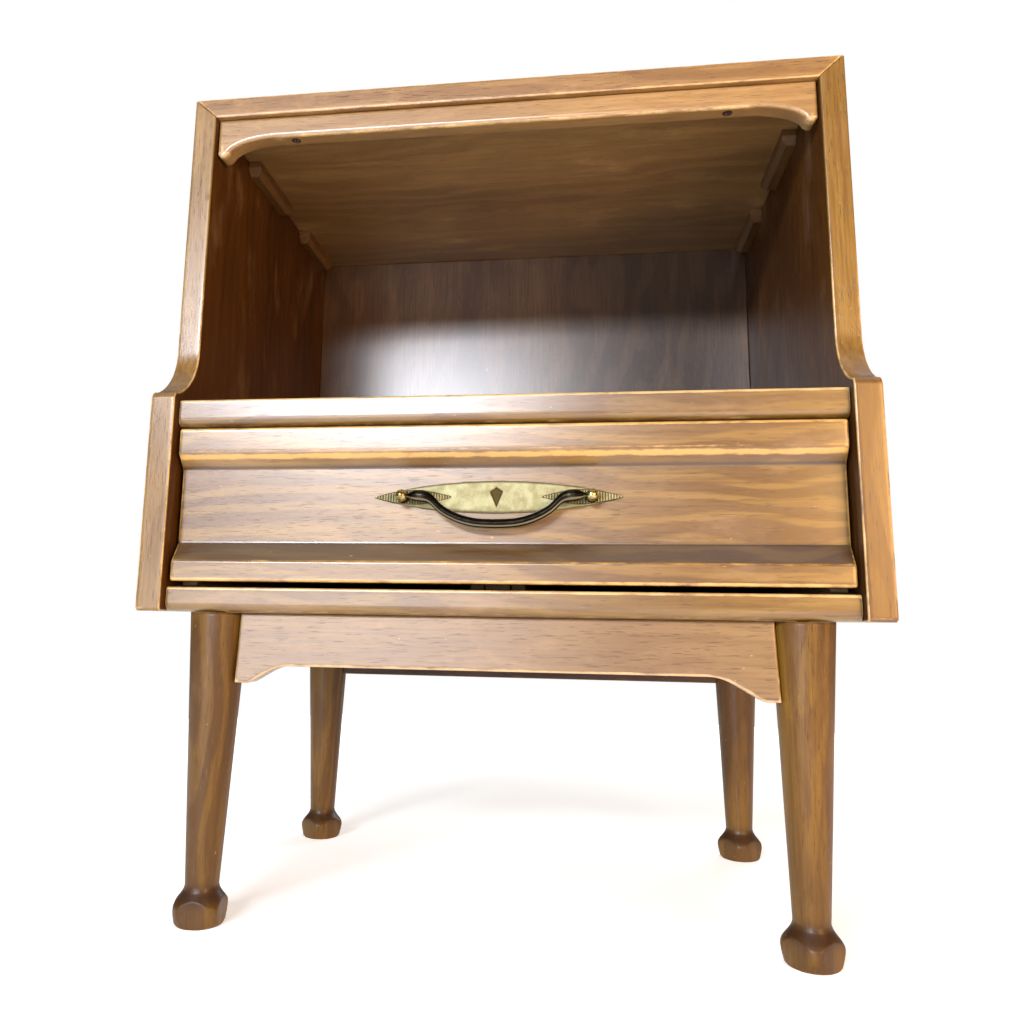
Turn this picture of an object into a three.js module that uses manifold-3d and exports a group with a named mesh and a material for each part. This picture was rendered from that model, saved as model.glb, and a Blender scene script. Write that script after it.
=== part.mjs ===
// Nightstand with an open cubby over one drawer, on four turned legs. Millimetres, +Z up, front faces -Y.
import * as THREE from "three";
import { mergeVertices } from "three/addons/utils/BufferGeometryUtils.js";
import Module from "manifold-3d";

const wasm = await Module();
wasm.setup();

// ---- driving sizes ----
const width = 530; // over the side panels
const height = 654; // floor to top
const depth = 356; // nose of the side panels to the back
const board = 19; // side panel thickness
const topThick = 17;
const gap = 0.3; // left between touching pieces
const setBack = 36; // the cubby's front edge behind the nose
const noseZ = 386; // where the sweep meets the nose
const sweepTopZ = 430;
const noseRound = 6;
const caseBottom = 220;
const railSetBack = 7; // rails behind the nose
const railThick = 16;
const shelfRailTop = 380.6;
const shelfRailHeight = 21;
const bottomRailTop = 238;
const bottomPanelThick = 15;
const backThick = 6;
const valanceSetBack = 4;
const valanceThick = 17;
const valanceMiddle = 19; // height of the valance between its brackets
const valanceEnd = 34.5;
const valanceFoot = 9; // flat at each end
const valanceOgee = 38; // length of the bracket curve
const valanceHoleX = 178;
const blockSize = 12; // glue blocks under the top
const blockSpans = { front: [72, 162], back: [216, 302] }; // from the cubby's front edge
const drawerGapSide = 3;
const drawerGapTop = 1.6;
const drawerGapBottom = 4.4;
const drawerSetBack = 6.5;
const frontThick = 22;
const fieldRecess = 9.5;
const topBand = 19;
const coveHeight = 12;
const bevelHeight = 13.5;
const bottomBand = 15.5;
const drawerBoxLength = 296;
const drawerSideThick = 12;
const drawerBoxHeight = 100;
const drawerBoxGap = 3; // drawer side to side panel
const drawerFloorThick = 5;
const pullZ = 305.4;
const pullHalfLength = 90.5;
const pullHalfHeight = 12;
const pullThick = 1.6;
const postX = 68.5;
const postReach = 9; // plate face to the ball's centre
const ballRadius = 4.5;
const bailRadius = 3.3;
const bailDrop = 20.5;
const legInset = 55; // leg centre in from the side
const legFrontInset = 7; // leg centre behind the bottom rail
const legBackInset = 70; // leg centre in front of the back
const legTopRadius = 21.4;
const ankleRadius = 12;
const ankleZ = 26;
const footFlareRadius = 20;
const footSquare = 33;
const footCorner = 6;
// each leg: its side, how far it stands off the even place, how far its foot leans in X, and its foot's turn
const legs = {
  front_left: { side: -1, shift: -1.5, lean: -1.2, turn: 4 },
  front_right: { side: 1, shift: 2, lean: -4, turn: 38 },
  back_left: { side: -1, shift: 8, lean: 0, turn: -36 },
  back_right: { side: 1, shift: -1.5, lean: -2, turn: 40 },
};
const apronSetBack = 18;
const apronThick = 18;
const apronMiddleBottom = 181.5;
const apronBrackets = { left: { start: 153, end: 183, z: 169 }, right: { start: 146, end: 184, z: 165.5 } };
const backApronBottom = 160;
const boltRadius = 4;

// ---- derived places ----
const front = -depth / 2;
const back = depth / 2;
const cubbyFront = front + setBack;
const inner = width / 2 - board;
const topUnder = height - topThick;
const railFront = front + railSetBack;
const backFace = back - backThick;
const shelfRailBottom = shelfRailTop - shelfRailHeight;
const drawerFace = front + drawerSetBack;
const fieldFace = drawerFace + fieldRecess;
const drawerTop = shelfRailBottom - drawerGapTop;
const drawerBottomZ = bottomRailTop + drawerGapBottom;
const drawerHalf = inner - drawerGapSide;
const bottomPanelTop = caseBottom + bottomPanelThick;
const bearerTop = bottomRailTop + 1.6;
const boxBottom = bearerTop + gap;
const boxFront = drawerFace + frontThick;
const boxBack = boxFront + drawerBoxLength;
const boxHalf = inner - drawerBoxGap;
const plateFace = fieldFace - gap - pullThick;
const ballY = plateFace - postReach;
const legX = width / 2 - legInset;
const legFrontY = railFront + railThick + legFrontInset;
const legBackY = back - legBackInset;
const apronFace = front + apronSetBack;
const legTop = caseBottom - gap;

// ---- colours ----
const walnut = 0x9a6434;
const walnutDark = 0x6b4021;
const edgeWood = 0xb98850;
const rawWood = 0x8a6a48;
const secondary = 0xb89a70;
const brass = 0xb59f6a;
const bronze = 0x3a2f26;
const steel = 0x77736c;

const group = new THREE.Group();

function add(name, geometry, color, metalness = 0, roughness = 0.55) {
  const material = new THREE.MeshStandardMaterial({ color, metalness, roughness });
  const mesh = new THREE.Mesh(geometry, material);
  mesh.name = name;
  group.add(mesh);
}

function bodyOf(geometry) {
  const bare = geometry.index ? geometry.toNonIndexed() : geometry.clone();
  bare.deleteAttribute("normal");
  bare.deleteAttribute("uv");
  const merged = mergeVertices(bare, 1e-4);
  const mesh = new wasm.Mesh({
    numProp: 3,
    vertProperties: merged.attributes.position.array,
    triVerts: new Uint32Array(merged.index.array),
  });
  return new wasm.Manifold(mesh);
}

function geometryOf(body) {
  const mesh = body.getMesh();
  const geometry = new THREE.BufferGeometry();
  geometry.setAttribute("position", new THREE.BufferAttribute(new Float32Array(mesh.vertProperties), 3));
  geometry.setIndex(new THREE.BufferAttribute(new Uint32Array(mesh.triVerts), 1));
  const flat = geometry.toNonIndexed();
  flat.computeVertexNormals();
  return flat;
}

function block(x0, x1, y0, y1, z0, z1) {
  const box = new THREE.BoxGeometry(x1 - x0, y1 - y0, z1 - z0);
  return box.translate((x0 + x1) / 2, (y0 + y1) / 2, (z0 + z1) / 2);
}

function outline(points) {
  const turn = points.reduce((sum, p, i) => {
    const q = points[(i + 1) % points.length];
    return sum + p[0] * q[1] - q[0] * p[1];
  }, 0);
  const ordered = turn < 0 ? [...points].reverse() : points;
  return new THREE.Shape(ordered.map((p) => new THREE.Vector2(p[0], p[1])));
}

// A profile of (y, z) points swept along X.
function alongX(points, x0, x1) {
  const made = new THREE.ExtrudeGeometry(outline(points), { depth: x1 - x0, bevelEnabled: false });
  const turn = new THREE.Matrix4().set(0, 0, 1, x0, 1, 0, 0, 0, 0, 1, 0, 0, 0, 0, 0, 1);
  return made.applyMatrix4(turn);
}

// A profile of (x, z) points swept along Y.
function alongY(shape, y0, y1) {
  const face = shape instanceof THREE.Shape ? shape : outline(shape);
  const made = new THREE.ExtrudeGeometry(face, { depth: y1 - y0, bevelEnabled: false });
  return made.rotateX(Math.PI / 2).translate(0, y1, 0);
}

function rod(radius, length, axis, x, y, z, sides = 24) {
  const made = new THREE.CylinderGeometry(radius, radius, length, sides);
  if (axis === "x") made.rotateZ(Math.PI / 2);
  if (axis === "z") made.rotateX(Math.PI / 2);
  return made.translate(x, y, z);
}

// Points of a smooth S from (u0, v0) to (u1, v1), level at both ends.
function ogee(u0, v0, u1, v1, steps = 10) {
  return Array.from({ length: steps + 1 }, (_, i) => {
    const t = i / steps;
    const s = t * t * (3 - 2 * t);
    return [u0 + (u1 - u0) * t, v0 + (v1 - v0) * s];
  });
}

function arc(cx, cy, r, from, to, steps = 8) {
  return Array.from({ length: steps + 1 }, (_, i) => {
    const a = ((from + ((to - from) * i) / steps) * Math.PI) / 180;
    return [cx + r * Math.cos(a), cy + r * Math.sin(a)];
  });
}

// ---- side panels ----
// The front edge drops straight past the cubby, sweeps forward, turns over a small nose and runs down.
function sideFront() {
  const sweep = Array.from({ length: 13 }, (_, i) => {
    const t = i / 12;
    const run = setBack - noseRound * 0.7;
    const y = cubbyFront - run * Math.pow(t, 2.1);
    const z = sweepTopZ - (sweepTopZ - noseZ) * (1 - Math.pow(1 - t, 1.25));
    return [y, z];
  });
  const nose = arc(front + noseRound, noseZ - noseRound * 0.9, noseRound, 110, 180, 5);
  return [...sweep, ...nose];
}

const sideOutline = [
  [back, caseBottom],
  [back, height],
  [cubbyFront, height],
  ...sideFront(),
  [front, caseBottom + 2],
  [front + 2, caseBottom],
];
const mitre = [
  [inner - 40, topUnder - (40 * topThick) / board],
  [width / 2 + 40, height + (40 * topThick) / board],
  [inner - 40, height + 60],
];
for (const [side, sign] of [
  ["left", -1],
  ["right", 1],
]) {
  const x = [sign * inner, (sign * width) / 2].sort((a, b) => a - b);
  const panel = bodyOf(alongX(sideOutline, x[0], x[1]));
  const waste = bodyOf(alongY(mitre.map(([u, z]) => [sign * u, z]), front - 5, back + 5));
  add("side_panel_" + side, geometryOf(panel.subtract(waste)), walnut);
}

// ---- top, mitred to both sides ----
const lean = gap * Math.hypot(1, board / topThick);
const topOutline = [
  [-width / 2 + lean, height],
  [-inner + lean, topUnder],
  [inner - lean, topUnder],
  [width / 2 - lean, height],
];
add("top_panel", alongY(topOutline, cubbyFront, back), walnut);

// ---- back ----
const panelHalf = inner - gap;
add("back_panel", block(-panelHalf, panelHalf, backFace, back, caseBottom, topUnder - gap), rawWood);

// ---- valance under the top ----
const valanceFront = cubbyFront + valanceSetBack;
const valanceBack = valanceFront + valanceThick;
const valanceTop = topUnder - gap;
const valanceHalf = inner - 1.2;
const lowMiddle = topUnder - valanceMiddle;
const lowEnd = topUnder - valanceEnd;
const bracketIn = valanceHalf - valanceFoot;
const valanceRight = ogee(bracketIn - valanceOgee, lowMiddle, bracketIn, lowEnd + 4);
const valanceOutline = [
  [-valanceHalf, valanceTop],
  [valanceHalf, valanceTop],
  [valanceHalf, lowEnd + 3],
  [valanceHalf - 3, lowEnd],
  [bracketIn + 2, lowEnd],
  ...[...valanceRight].reverse(),
  ...valanceRight.map(([u, z]) => [-u, z]),
  [-bracketIn - 2, lowEnd],
  [-valanceHalf + 3, lowEnd],
  [-valanceHalf, lowEnd + 3],
];
const holeY = (valanceFront + valanceBack) / 2;
let valance = bodyOf(alongY(valanceOutline, valanceFront, valanceBack));
for (const x of [-valanceHoleX, valanceHoleX]) {
  valance = valance.subtract(bodyOf(rod(4, 12, "z", x, holeY, lowMiddle + 2)));
  valance = valance.subtract(bodyOf(rod(2.2, 40, "z", x, holeY, lowMiddle + 10)));
}
add("cubby_valance", geometryOf(valance), walnut);
for (const [side, sign] of [
  ["left", -1],
  ["right", 1],
]) {
  const profile = [
    [0, 0],
    [3.6, 0],
    [3.6, 1],
    [1.9, 2.6],
    [1.9, valanceMiddle - 8.5],
    [0, valanceMiddle - 8.5],
  ].map(([r, z]) => new THREE.Vector2(r, z));
  const screw = new THREE.LatheGeometry(profile, 20).rotateX(Math.PI / 2);
  screw.translate(sign * valanceHoleX, holeY, lowMiddle + 4);
  add("valance_screw_" + side, screw, steel, 0.9, 0.45);
}

// ---- glue blocks in the top corners ----
for (const [place, [from, to]] of Object.entries(blockSpans)) {
  for (const [side, sign] of [
    ["left", -1],
    ["right", 1],
  ]) {
    const x = sign * (inner - gap);
    const z = topUnder - gap;
    const section = [
      [x, z],
      [x - sign * blockSize, z],
      [x - sign * blockSize, z - blockSize + 4],
      [x - sign * (blockSize - 4), z - blockSize],
      [x, z - blockSize],
    ];
    const stick = bodyOf(alongY(section, cubbyFront + from, cubbyFront + to));
    const cut = (y, lift) => {
      const wedge = new THREE.BoxGeometry(60, 20, 20);
      return bodyOf(wedge.rotateX((lift * Math.PI) / 4).translate(x, y, z - blockSize - 4));
    };
    const cutBoth = stick.subtract(cut(cubbyFront + from - 4, 1)).subtract(cut(cubbyFront + to + 4, -1));
    add("glue_block_" + place + "_" + side, geometryOf(cutBoth), secondary);
  }
}

// ---- shelf, rails and bottom ----
const railBack = railFront + railThick;
const railHalf = inner - 0.8;
const roundEdge = 7;
function railSection(z0, z1) {
  return [
    [railBack, z0 + 1],
    [railBack, z1],
    [railFront + 1.5, z1],
    [railFront, z1 - 1.5],
    ...arc(railFront + roundEdge, z0 + roundEdge, roundEdge, 180, 270, 6),
  ];
}
add("shelf_front_rail", alongX(railSection(shelfRailBottom, shelfRailTop), -railHalf, railHalf), walnut);
add("bottom_front_rail", alongX(railSection(caseBottom, bottomRailTop), -railHalf, railHalf), walnut);
const insideBack = backFace - gap;
const shelf = block(-panelHalf, panelHalf, railBack + gap, insideBack, shelfRailTop - 16, shelfRailTop - 1);
add("shelf_panel", shelf, rawWood);

const boltPlaces = Object.entries(legs).map(([place, { side, shift }]) => {
  return [place, side * legX + shift, place.startsWith("front") ? legFrontY : legBackY];
});
let floorBoard = bodyOf(
  block(-panelHalf, panelHalf, railBack + gap, insideBack, caseBottom, bottomPanelTop),
);
for (const [, x, y] of boltPlaces) {
  floorBoard = floorBoard.subtract(bodyOf(rod(boltRadius + gap, 60, "z", x, y, caseBottom)));
}
add("bottom_panel", geometryOf(floorBoard), rawWood);

// ---- what the drawer runs on ----
const guideHalf = 9;
const guideTop = bottomPanelTop + 8;
const guideFront = railBack + 6;
const guideBack = boxBack - 6;
add(
  "drawer_guide_rail",
  block(-guideHalf, guideHalf, guideFront, guideBack, bottomPanelTop + gap, guideTop),
  secondary,
);
const bearerHeight = bearerTop - bottomPanelTop;
for (const [side, sign] of [
  ["left", -1],
  ["right", 1],
]) {
  const x = [sign * (inner - gap), sign * (inner - 24)].sort((a, b) => a - b);
  const strip = block(x[0], x[1], railBack + gap, insideBack - gap, bearerTop - bearerHeight + gap, bearerTop);
  add("drawer_bearer_" + side, strip, secondary);
}
add(
  "drawer_kicker",
  block(-16, 16, boxFront + 4, insideBack - gap, shelfRailTop - 26, shelfRailTop - 16 - gap),
  secondary,
);
add(
  "drawer_stop",
  block(-30, 30, boxBack + gap, boxBack + 18, bottomPanelTop + gap, bottomPanelTop + 26),
  secondary,
);

// ---- drawer front: two proud bands with a cove and a bevel round a recessed field ----
const coveTop = drawerTop - topBand;
const bevelBottom = drawerBottomZ + bottomBand;
const coveLine = ogee(0, 0, 1, 1, 10).map(([s, t]) => [
  drawerFace + fieldRecess * (0.35 * s + 0.65 * t),
  coveTop - coveHeight * (0.6 * s + 0.4 * t),
]);
const frontSection = [
  [boxFront, drawerTop],
  [drawerFace + 2.5, drawerTop],
  [drawerFace, drawerTop - 2.5],
  ...coveLine,
  [fieldFace, bevelBottom + bevelHeight],
  [drawerFace + 1.2, bevelBottom + 1],
  [drawerFace, bevelBottom - 1],
  [drawerFace, drawerBottomZ + 2.5],
  [drawerFace + 2.5, drawerBottomZ],
  [boxFront, drawerBottomZ],
];
let drawerFront = bodyOf(alongX(frontSection, -drawerHalf, drawerHalf));
for (const x of [-postX, postX]) {
  drawerFront = drawerFront.subtract(bodyOf(rod(2.3, 60, "y", x, fieldFace, pullZ)));
}
add("drawer_front", geometryOf(drawerFront), walnut);

// ---- drawer box ----
const boxTop = boxBottom + drawerBoxHeight;
const grooveZ = boxBottom + 9;
const sideIn = boxHalf - drawerSideThick;
const groove = 5;
for (const [side, sign] of [
  ["left", -1],
  ["right", 1],
]) {
  const section = [
    [sign * boxHalf, boxBottom],
    [sign * boxHalf, boxTop],
    [sign * sideIn, boxTop],
    [sign * sideIn, grooveZ + drawerFloorThick + gap],
    [sign * (sideIn + groove), grooveZ + drawerFloorThick + gap],
    [sign * (sideIn + groove), grooveZ - gap],
    [sign * sideIn, grooveZ - gap],
    [sign * sideIn, boxBottom],
  ];
  add("drawer_side_" + side, alongY(section, boxFront + gap, boxBack), secondary);
}
add(
  "drawer_back",
  block(-sideIn + gap, sideIn - gap, boxBack - 12, boxBack - 1, grooveZ + drawerFloorThick + gap, boxTop - 4),
  secondary,
);
const floorHalf = sideIn + groove - gap;
add(
  "drawer_bottom",
  block(-floorHalf, floorHalf, boxFront + gap, boxBack - 0.5, grooveZ, grooveZ + drawerFloorThick),
  secondary,
);
const runnerTop = grooveZ - gap;
const runnerSection = [
  [-20, runnerTop],
  [20, runnerTop],
  [20, bottomPanelTop + 3],
  [guideHalf + 1, bottomPanelTop + 3],
  [guideHalf + 1, guideTop + 0.8],
  [-guideHalf - 1, guideTop + 0.8],
  [-guideHalf - 1, bottomPanelTop + 3],
  [-20, bottomPanelTop + 3],
];
add("drawer_runner", alongY(runnerSection, boxFront + 2, boxBack - 1), secondary);

// ---- bail pull ----
function leaf(half, rise, steps = 28) {
  const edge = Array.from({ length: steps + 1 }, (_, i) => {
    const t = i / steps;
    return [half * (1 - 2 * t), rise * Math.pow(4 * t * (1 - t), 0.85)];
  });
  const under = edge.slice(1, -1).reverse().map(([x, z]) => [x, -z]);
  return [...edge, ...under].map(([x, z]) => [x, z + pullZ]);
}
let plate = bodyOf(alongY(leaf(pullHalfLength, pullHalfHeight), plateFace, plateFace + pullThick));
const kite = [
  [0, pullZ + 7.5],
  [5, pullZ + 4],
  [0, pullZ - 8],
  [-5, pullZ + 4],
];
plate = plate.subtract(bodyOf(alongY(kite, plateFace - 5, plateFace + 5)));
for (const x of [-postX, postX]) {
  plate = plate.subtract(bodyOf(rod(2.6, 20, "y", x, plateFace, pullZ)));
}
add("pull_backplate", geometryOf(plate), brass, 0.9, 0.4);

// Each post turns from a collar on the plate to a ball, and its threaded end goes through the front.
const postSection = [
  [0, -postReach - ballRadius],
  ...arc(0, -postReach, ballRadius, -80, 52, 8),
  [3, -gap - 2.2],
  [4.4, -gap - 1.4],
  [4.4, -gap],
  [2, -gap],
  [2, pullThick + gap + frontThick - fieldRecess + 7],
  [0, pullThick + gap + frontThick - fieldRecess + 7],
].map(([r, y]) => new THREE.Vector2(r, y));
for (const [side, sign] of [
  ["left", -1],
  ["right", 1],
]) {
  const post = new THREE.LatheGeometry(postSection, 24).translate(sign * postX, plateFace, pullZ);
  const hole = rod(2, 12, "x", sign * (postX - 5), ballY, pullZ, 16);
  add("pull_post_" + side, geometryOf(bodyOf(post).subtract(bodyOf(hole))), brass, 0.9, 0.35);
  const nutY = boxFront + gap;
  const nut = bodyOf(rod(4.8, 3.4, "y", sign * postX, nutY + 1.7, pullZ, 6));
  const bore = bodyOf(rod(2.3, 20, "y", sign * postX, nutY, pullZ));
  add("pull_nut_" + side, geometryOf(nut.subtract(bore)), steel, 0.9, 0.45);
}

// The bail: a pin in each ball, a shouldered block, then one drooping bar.
const pinIn = postX - 0.6;
const shoulderX = postX - ballRadius - 1;
const bendHalf = [
  [shoulderX - 15, 0.8],
  [shoulderX - 19, 4.5],
  [shoulderX - 24, 10.5],
  [shoulderX - 36, 16.5],
  [14, bailDrop - 0.6],
];
const bend = [
  ...bendHalf.map(([x, drop]) => new THREE.Vector3(-x, ballY, pullZ - drop)),
  new THREE.Vector3(0, ballY, pullZ - bailDrop),
  ...[...bendHalf].reverse().map(([x, drop]) => new THREE.Vector3(x, ballY, pullZ - drop)),
];
const round = new THREE.Shape(
  Array.from({ length: 12 }, (_, i) => {
    const a = (i * Math.PI) / 6;
    return new THREE.Vector2(bailRadius * Math.cos(a), bailRadius * Math.sin(a));
  }),
);
const bar = new THREE.ExtrudeGeometry(round, {
  steps: 44,
  bevelEnabled: false,
  extrudePath: new THREE.CatmullRomCurve3(bend),
});
let bail = bodyOf(bar);
for (const sign of [-1, 1]) {
  const shoulder = new THREE.SphereGeometry(1, 20, 12).scale(9.4, 3.9, 4.6);
  bail = bail.add(bodyOf(shoulder.translate(sign * (shoulderX - 9.2), ballY, pullZ - 0.6)));
  const length = pinIn - (shoulderX - 8);
  bail = bail.add(bodyOf(rod(1.6, length, "x", sign * (pinIn - length / 2), ballY, pullZ, 14)));
}
add("pull_bail", geometryOf(bail), bronze, 0.85, 0.45);

// ---- legs: turned taper, ankle, and a flared foot that the square blank cut off flat ----
const legSection = [
  [0, 0],
  [footFlareRadius - 3.4, 0],
  [footFlareRadius - 2, 1.6],
  [footFlareRadius - 0.9, 6],
  [footFlareRadius, 12],
  [footFlareRadius - 0.4, 14],
  [footFlareRadius - 2, 16.5],
  [ankleRadius + 3.2, 19.8],
  [ankleRadius + 1, 23],
  [ankleRadius, ankleZ],
  ...Array.from({ length: 8 }, (_, i) => {
    const t = (i + 1) / 8;
    return [ankleRadius + (legTopRadius - ankleRadius) * t, ankleZ + (legTop - ankleZ) * t];
  }),
  [0, legTop],
];
const cornerAt = footSquare / 2 - footCorner;
const footOutline = [0, 90, 180, 270].flatMap((a) => {
  const [u, v] = [a === 0 || a === 270 ? cornerAt : -cornerAt, a < 180 ? cornerAt : -cornerAt];
  return arc(u, v, footCorner, a, a + 90, 6);
});
const square = bodyOf(alongY(footOutline, -5, ankleZ + 0.3).rotateX(Math.PI / 2));
const above = bodyOf(block(-40, 40, -40, 40, ankleZ, height));
function turned(grow, sides) {
  const points = legSection.map(([r, z]) => new THREE.Vector2(r > 0 ? r + grow : 0, z));
  return bodyOf(new THREE.LatheGeometry(points, sides).rotateX(Math.PI / 2));
}
function leaned(body, place, x, y) {
  return body.warp((v) => (v[0] += legs[place].lean * (1 - v[2] / legTop))).translate([x, y, 0]);
}
const boltTop = bottomPanelTop - 2;
const boltBottom = legTop - 34;
for (const [place, x, y] of boltPlaces) {
  const blank = square.rotate([0, 0, legs[place].turn]).add(above);
  const leg = leaned(turned(0, 40).intersect(blank), place, x, y);
  const hole = bodyOf(rod(boltRadius + gap, 80, "z", x, y, boltBottom - gap + 40));
  add("leg_" + place, geometryOf(leg.subtract(hole)), walnut);
  const bolt = rod(boltRadius, boltTop - boltBottom, "z", x, y, (boltTop + boltBottom) / 2, 20);
  add("hanger_bolt_" + place, bolt, steel, 0.9, 0.45);
}

// ---- aprons, their ends scribed to the round legs ----
const apronTop = caseBottom - gap;
const { left, right } = apronBrackets;
// the bracket's lower edge, from its foot up to the middle: steep at first, then easing out level
function bracket({ start, end, z }) {
  return Array.from({ length: 13 }, (_, i) => {
    const t = (i / 12) ** 0.75;
    return [end + ((start - end) * i) / 12, z + (apronMiddleBottom - z) * t * t * (3 - 2 * t)];
  });
}
const apronOutline = [
  [-legX, apronTop],
  [legX, apronTop],
  [legX, right.z],
  ...bracket(right),
  ...bracket(left)
    .map(([x, z]) => [-x, z])
    .reverse(),
  [-legX, left.z],
];
function scribed(body, row) {
  const near = boltPlaces.filter(([place]) => place.startsWith(row));
  return near.reduce((b, [place, x, y]) => b.subtract(leaned(turned(gap, 40), place, x, y)), body);
}
const frontApron = scribed(bodyOf(alongY(apronOutline, apronFace, apronFace + apronThick)), "front");
const trimmed = (body, half) => {
  return body.intersect(bodyOf(block(-half, half, -depth, depth, 0, height)));
};
add("front_apron", geometryOf(trimmed(frontApron, legX - 15)), walnut);
const backApronFace = legBackY - 4;
const backBoard = block(-legX, legX, backApronFace, backApronFace + apronThick, backApronBottom, apronTop);
const backApron = scribed(bodyOf(backBoard), "back");
add("back_apron", geometryOf(trimmed(backApron, legX - 10)), walnutDark);

// ---- glue blocks behind the aprons ----
for (const [place, y0] of [
  ["front", apronFace + apronThick + gap],
  ["back", backApronFace - gap - 16],
]) {
  for (const [side, sign] of [
    ["left", -1],
    ["right", 1],
  ]) {
    const x = [sign * 70, sign * 150].sort((a, b) => a - b);
    add(
      "apron_block_" + place + "_" + side,
      block(x[0], x[1], y0, y0 + 16, apronTop - 16, apronTop),
      secondary,
    );
  }
}

export default group;
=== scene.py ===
"""Looks for a walnut nightstand: an open cubby over a drawer, on four turned legs."""
import math

import bmesh
import bpy
import numpy as np
from mathutils import Matrix, Vector


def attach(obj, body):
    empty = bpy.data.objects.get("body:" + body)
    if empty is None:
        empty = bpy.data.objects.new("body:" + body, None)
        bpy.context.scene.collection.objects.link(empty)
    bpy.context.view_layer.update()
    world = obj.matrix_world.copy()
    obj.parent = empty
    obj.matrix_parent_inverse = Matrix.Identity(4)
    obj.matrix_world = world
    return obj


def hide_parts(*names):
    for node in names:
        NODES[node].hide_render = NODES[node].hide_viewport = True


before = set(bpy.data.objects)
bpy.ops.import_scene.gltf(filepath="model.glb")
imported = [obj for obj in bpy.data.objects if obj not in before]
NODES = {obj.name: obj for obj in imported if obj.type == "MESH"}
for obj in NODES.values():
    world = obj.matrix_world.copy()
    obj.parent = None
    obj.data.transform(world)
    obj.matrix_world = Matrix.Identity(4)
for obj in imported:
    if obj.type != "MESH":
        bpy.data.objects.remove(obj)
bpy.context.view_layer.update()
MM = 0.001

# ---- camera ----
yaw, pitch, roll = math.radians(8.06), math.radians(9.53), math.radians(-0.94)
ahead = Vector((-math.sin(yaw) * math.cos(pitch), math.cos(yaw) * math.cos(pitch), math.sin(pitch)))
level = Vector((math.cos(yaw), math.sin(yaw), 0))
sunk = ahead.cross(level)
right = math.cos(roll) * level + math.sin(roll) * sunk
down = -math.sin(roll) * level + math.cos(roll) * sunk
camera_data = bpy.data.cameras.new("camera")
camera = bpy.data.objects.new("camera", camera_data)
bpy.context.scene.collection.objects.link(camera)
placed = Matrix((right, -down, -ahead)).transposed().to_4x4()
placed.translation = Vector((0.062, -0.771, 0.218))
camera.matrix_world = placed
camera_data.sensor_width = 36
camera_data.lens = 36 * 850 / 1035
camera_data.shift_x = 0.0517
camera_data.shift_y = -0.0401
camera_data.clip_start = 0.01
bpy.context.scene.camera = camera

# ---- sizes of the piece, in millimetres, as the CAD has them ----
HALF, HEIGHT, FRONT, BACK = 265.0, 654.0, -178.0, 178.0
BOARD, TOP_THICK = 19.0, 17.0
INNER = HALF - BOARD
TOP_UNDER = HEIGHT - TOP_THICK
CUBBY_FRONT = -142.0
CASE_BOTTOM = 220.0
RAIL_FRONT, RAIL_BACK = -171.0, -155.0
DRAWER_FACE, FIELD_FACE, FRONT_BACK = -171.5, -162.0, -149.5
DRAWER_HALF, DRAWER_LOW, DRAWER_TOP = 243.0, 242.4, 358.0
RAIL_HALF, BOTTOM_RAIL_TOP, SHELF_RAIL_LOW, SHELF_TOP = 245.2, 238.0, 359.6, 380.6
VALANCE_FRONT, VALANCE_BACK, VALANCE_LOW, SCREW_X = -138.0, -121.0, 618.0, 178.0
APRON_FRONT, APRON_BACK, APRON_TOP, APRON_LOW = -160.0, -142.0, 219.7, 181.5
PULL_Z, PULL_HALF, PLATE_RISE, PLATE_THICK = 305.4, 90.5, 12.0, 1.6
PLATE_FACE, BALL_Y, POST_X, BALL_RADIUS = -163.9, -172.9, 68.5, 4.5


# ---- mesh helpers ----
def piece(name, shells, body, material, replaces=(), marks=None, inner=None):
    """Joins shells (each a grid of points with its faces) into one mesh, smooth but for its flat caps. The
    marks are per-point numbers, and faces whose points all have an "inner" mark take the inner material."""
    points = np.concatenate([s[0] for s in shells]) * MM
    base, faces = 0, []
    for pts, quads, caps in shells:
        faces += (quads + base).tolist() + [[i + base for i in cap] for cap in caps]
        base += len(pts)
    mesh = bpy.data.meshes.new(name)
    mesh.from_pydata(points.tolist(), [], faces)
    for key in marks or {}:
        layer = mesh.attributes.new(key, "FLOAT", "POINT")
        layer.data.foreach_set("value", np.asarray(marks[key], np.float32))
    work = bmesh.new()
    work.from_mesh(mesh)
    bmesh.ops.remove_doubles(work, verts=work.verts, dist=2e-6)
    bmesh.ops.recalc_face_normals(work, faces=work.faces)
    work.to_mesh(mesh)
    work.free()
    mesh.polygons.foreach_set("use_smooth", [len(f.vertices) <= 4 for f in mesh.polygons])
    mesh.materials.append(material)
    if inner:
        mesh.materials.append(inner)
        is_inner = np.zeros(len(mesh.vertices), np.float32)
        mesh.attributes["inner"].data.foreach_get("value", is_inner)
        faced = [int(is_inner[list(f.vertices)].min() > 0.5) for f in mesh.polygons]
        mesh.polygons.foreach_set("material_index", faced)
    made = bpy.data.objects.new(name, mesh)
    bpy.context.scene.collection.objects.link(made)
    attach(made, body)
    if replaces:
        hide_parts(*replaces)
    return made


def sheet(grid, around=False, along=False, caps=False):
    """A grid of points as a shell: quads between neighbours; around joins the last column to the first,
    along joins the last row to the first, caps closes the first and last rows with one face each."""
    rows, cols = grid.shape[:2]
    r = np.arange(rows if along else rows - 1)
    c = np.arange(cols if around else cols - 1)
    a, b = np.meshgrid(r, c, indexing="ij")
    a2, b2 = (a + 1) % rows, (b + 1) % cols
    quads = np.stack([a * cols + b, a2 * cols + b, a2 * cols + b2, a * cols + b2], -1).reshape(-1, 4)
    ends = [list(range(cols)), list(range((rows - 1) * cols, rows * cols))] if caps else []
    return grid.reshape(-1, 3), quads, ends


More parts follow.
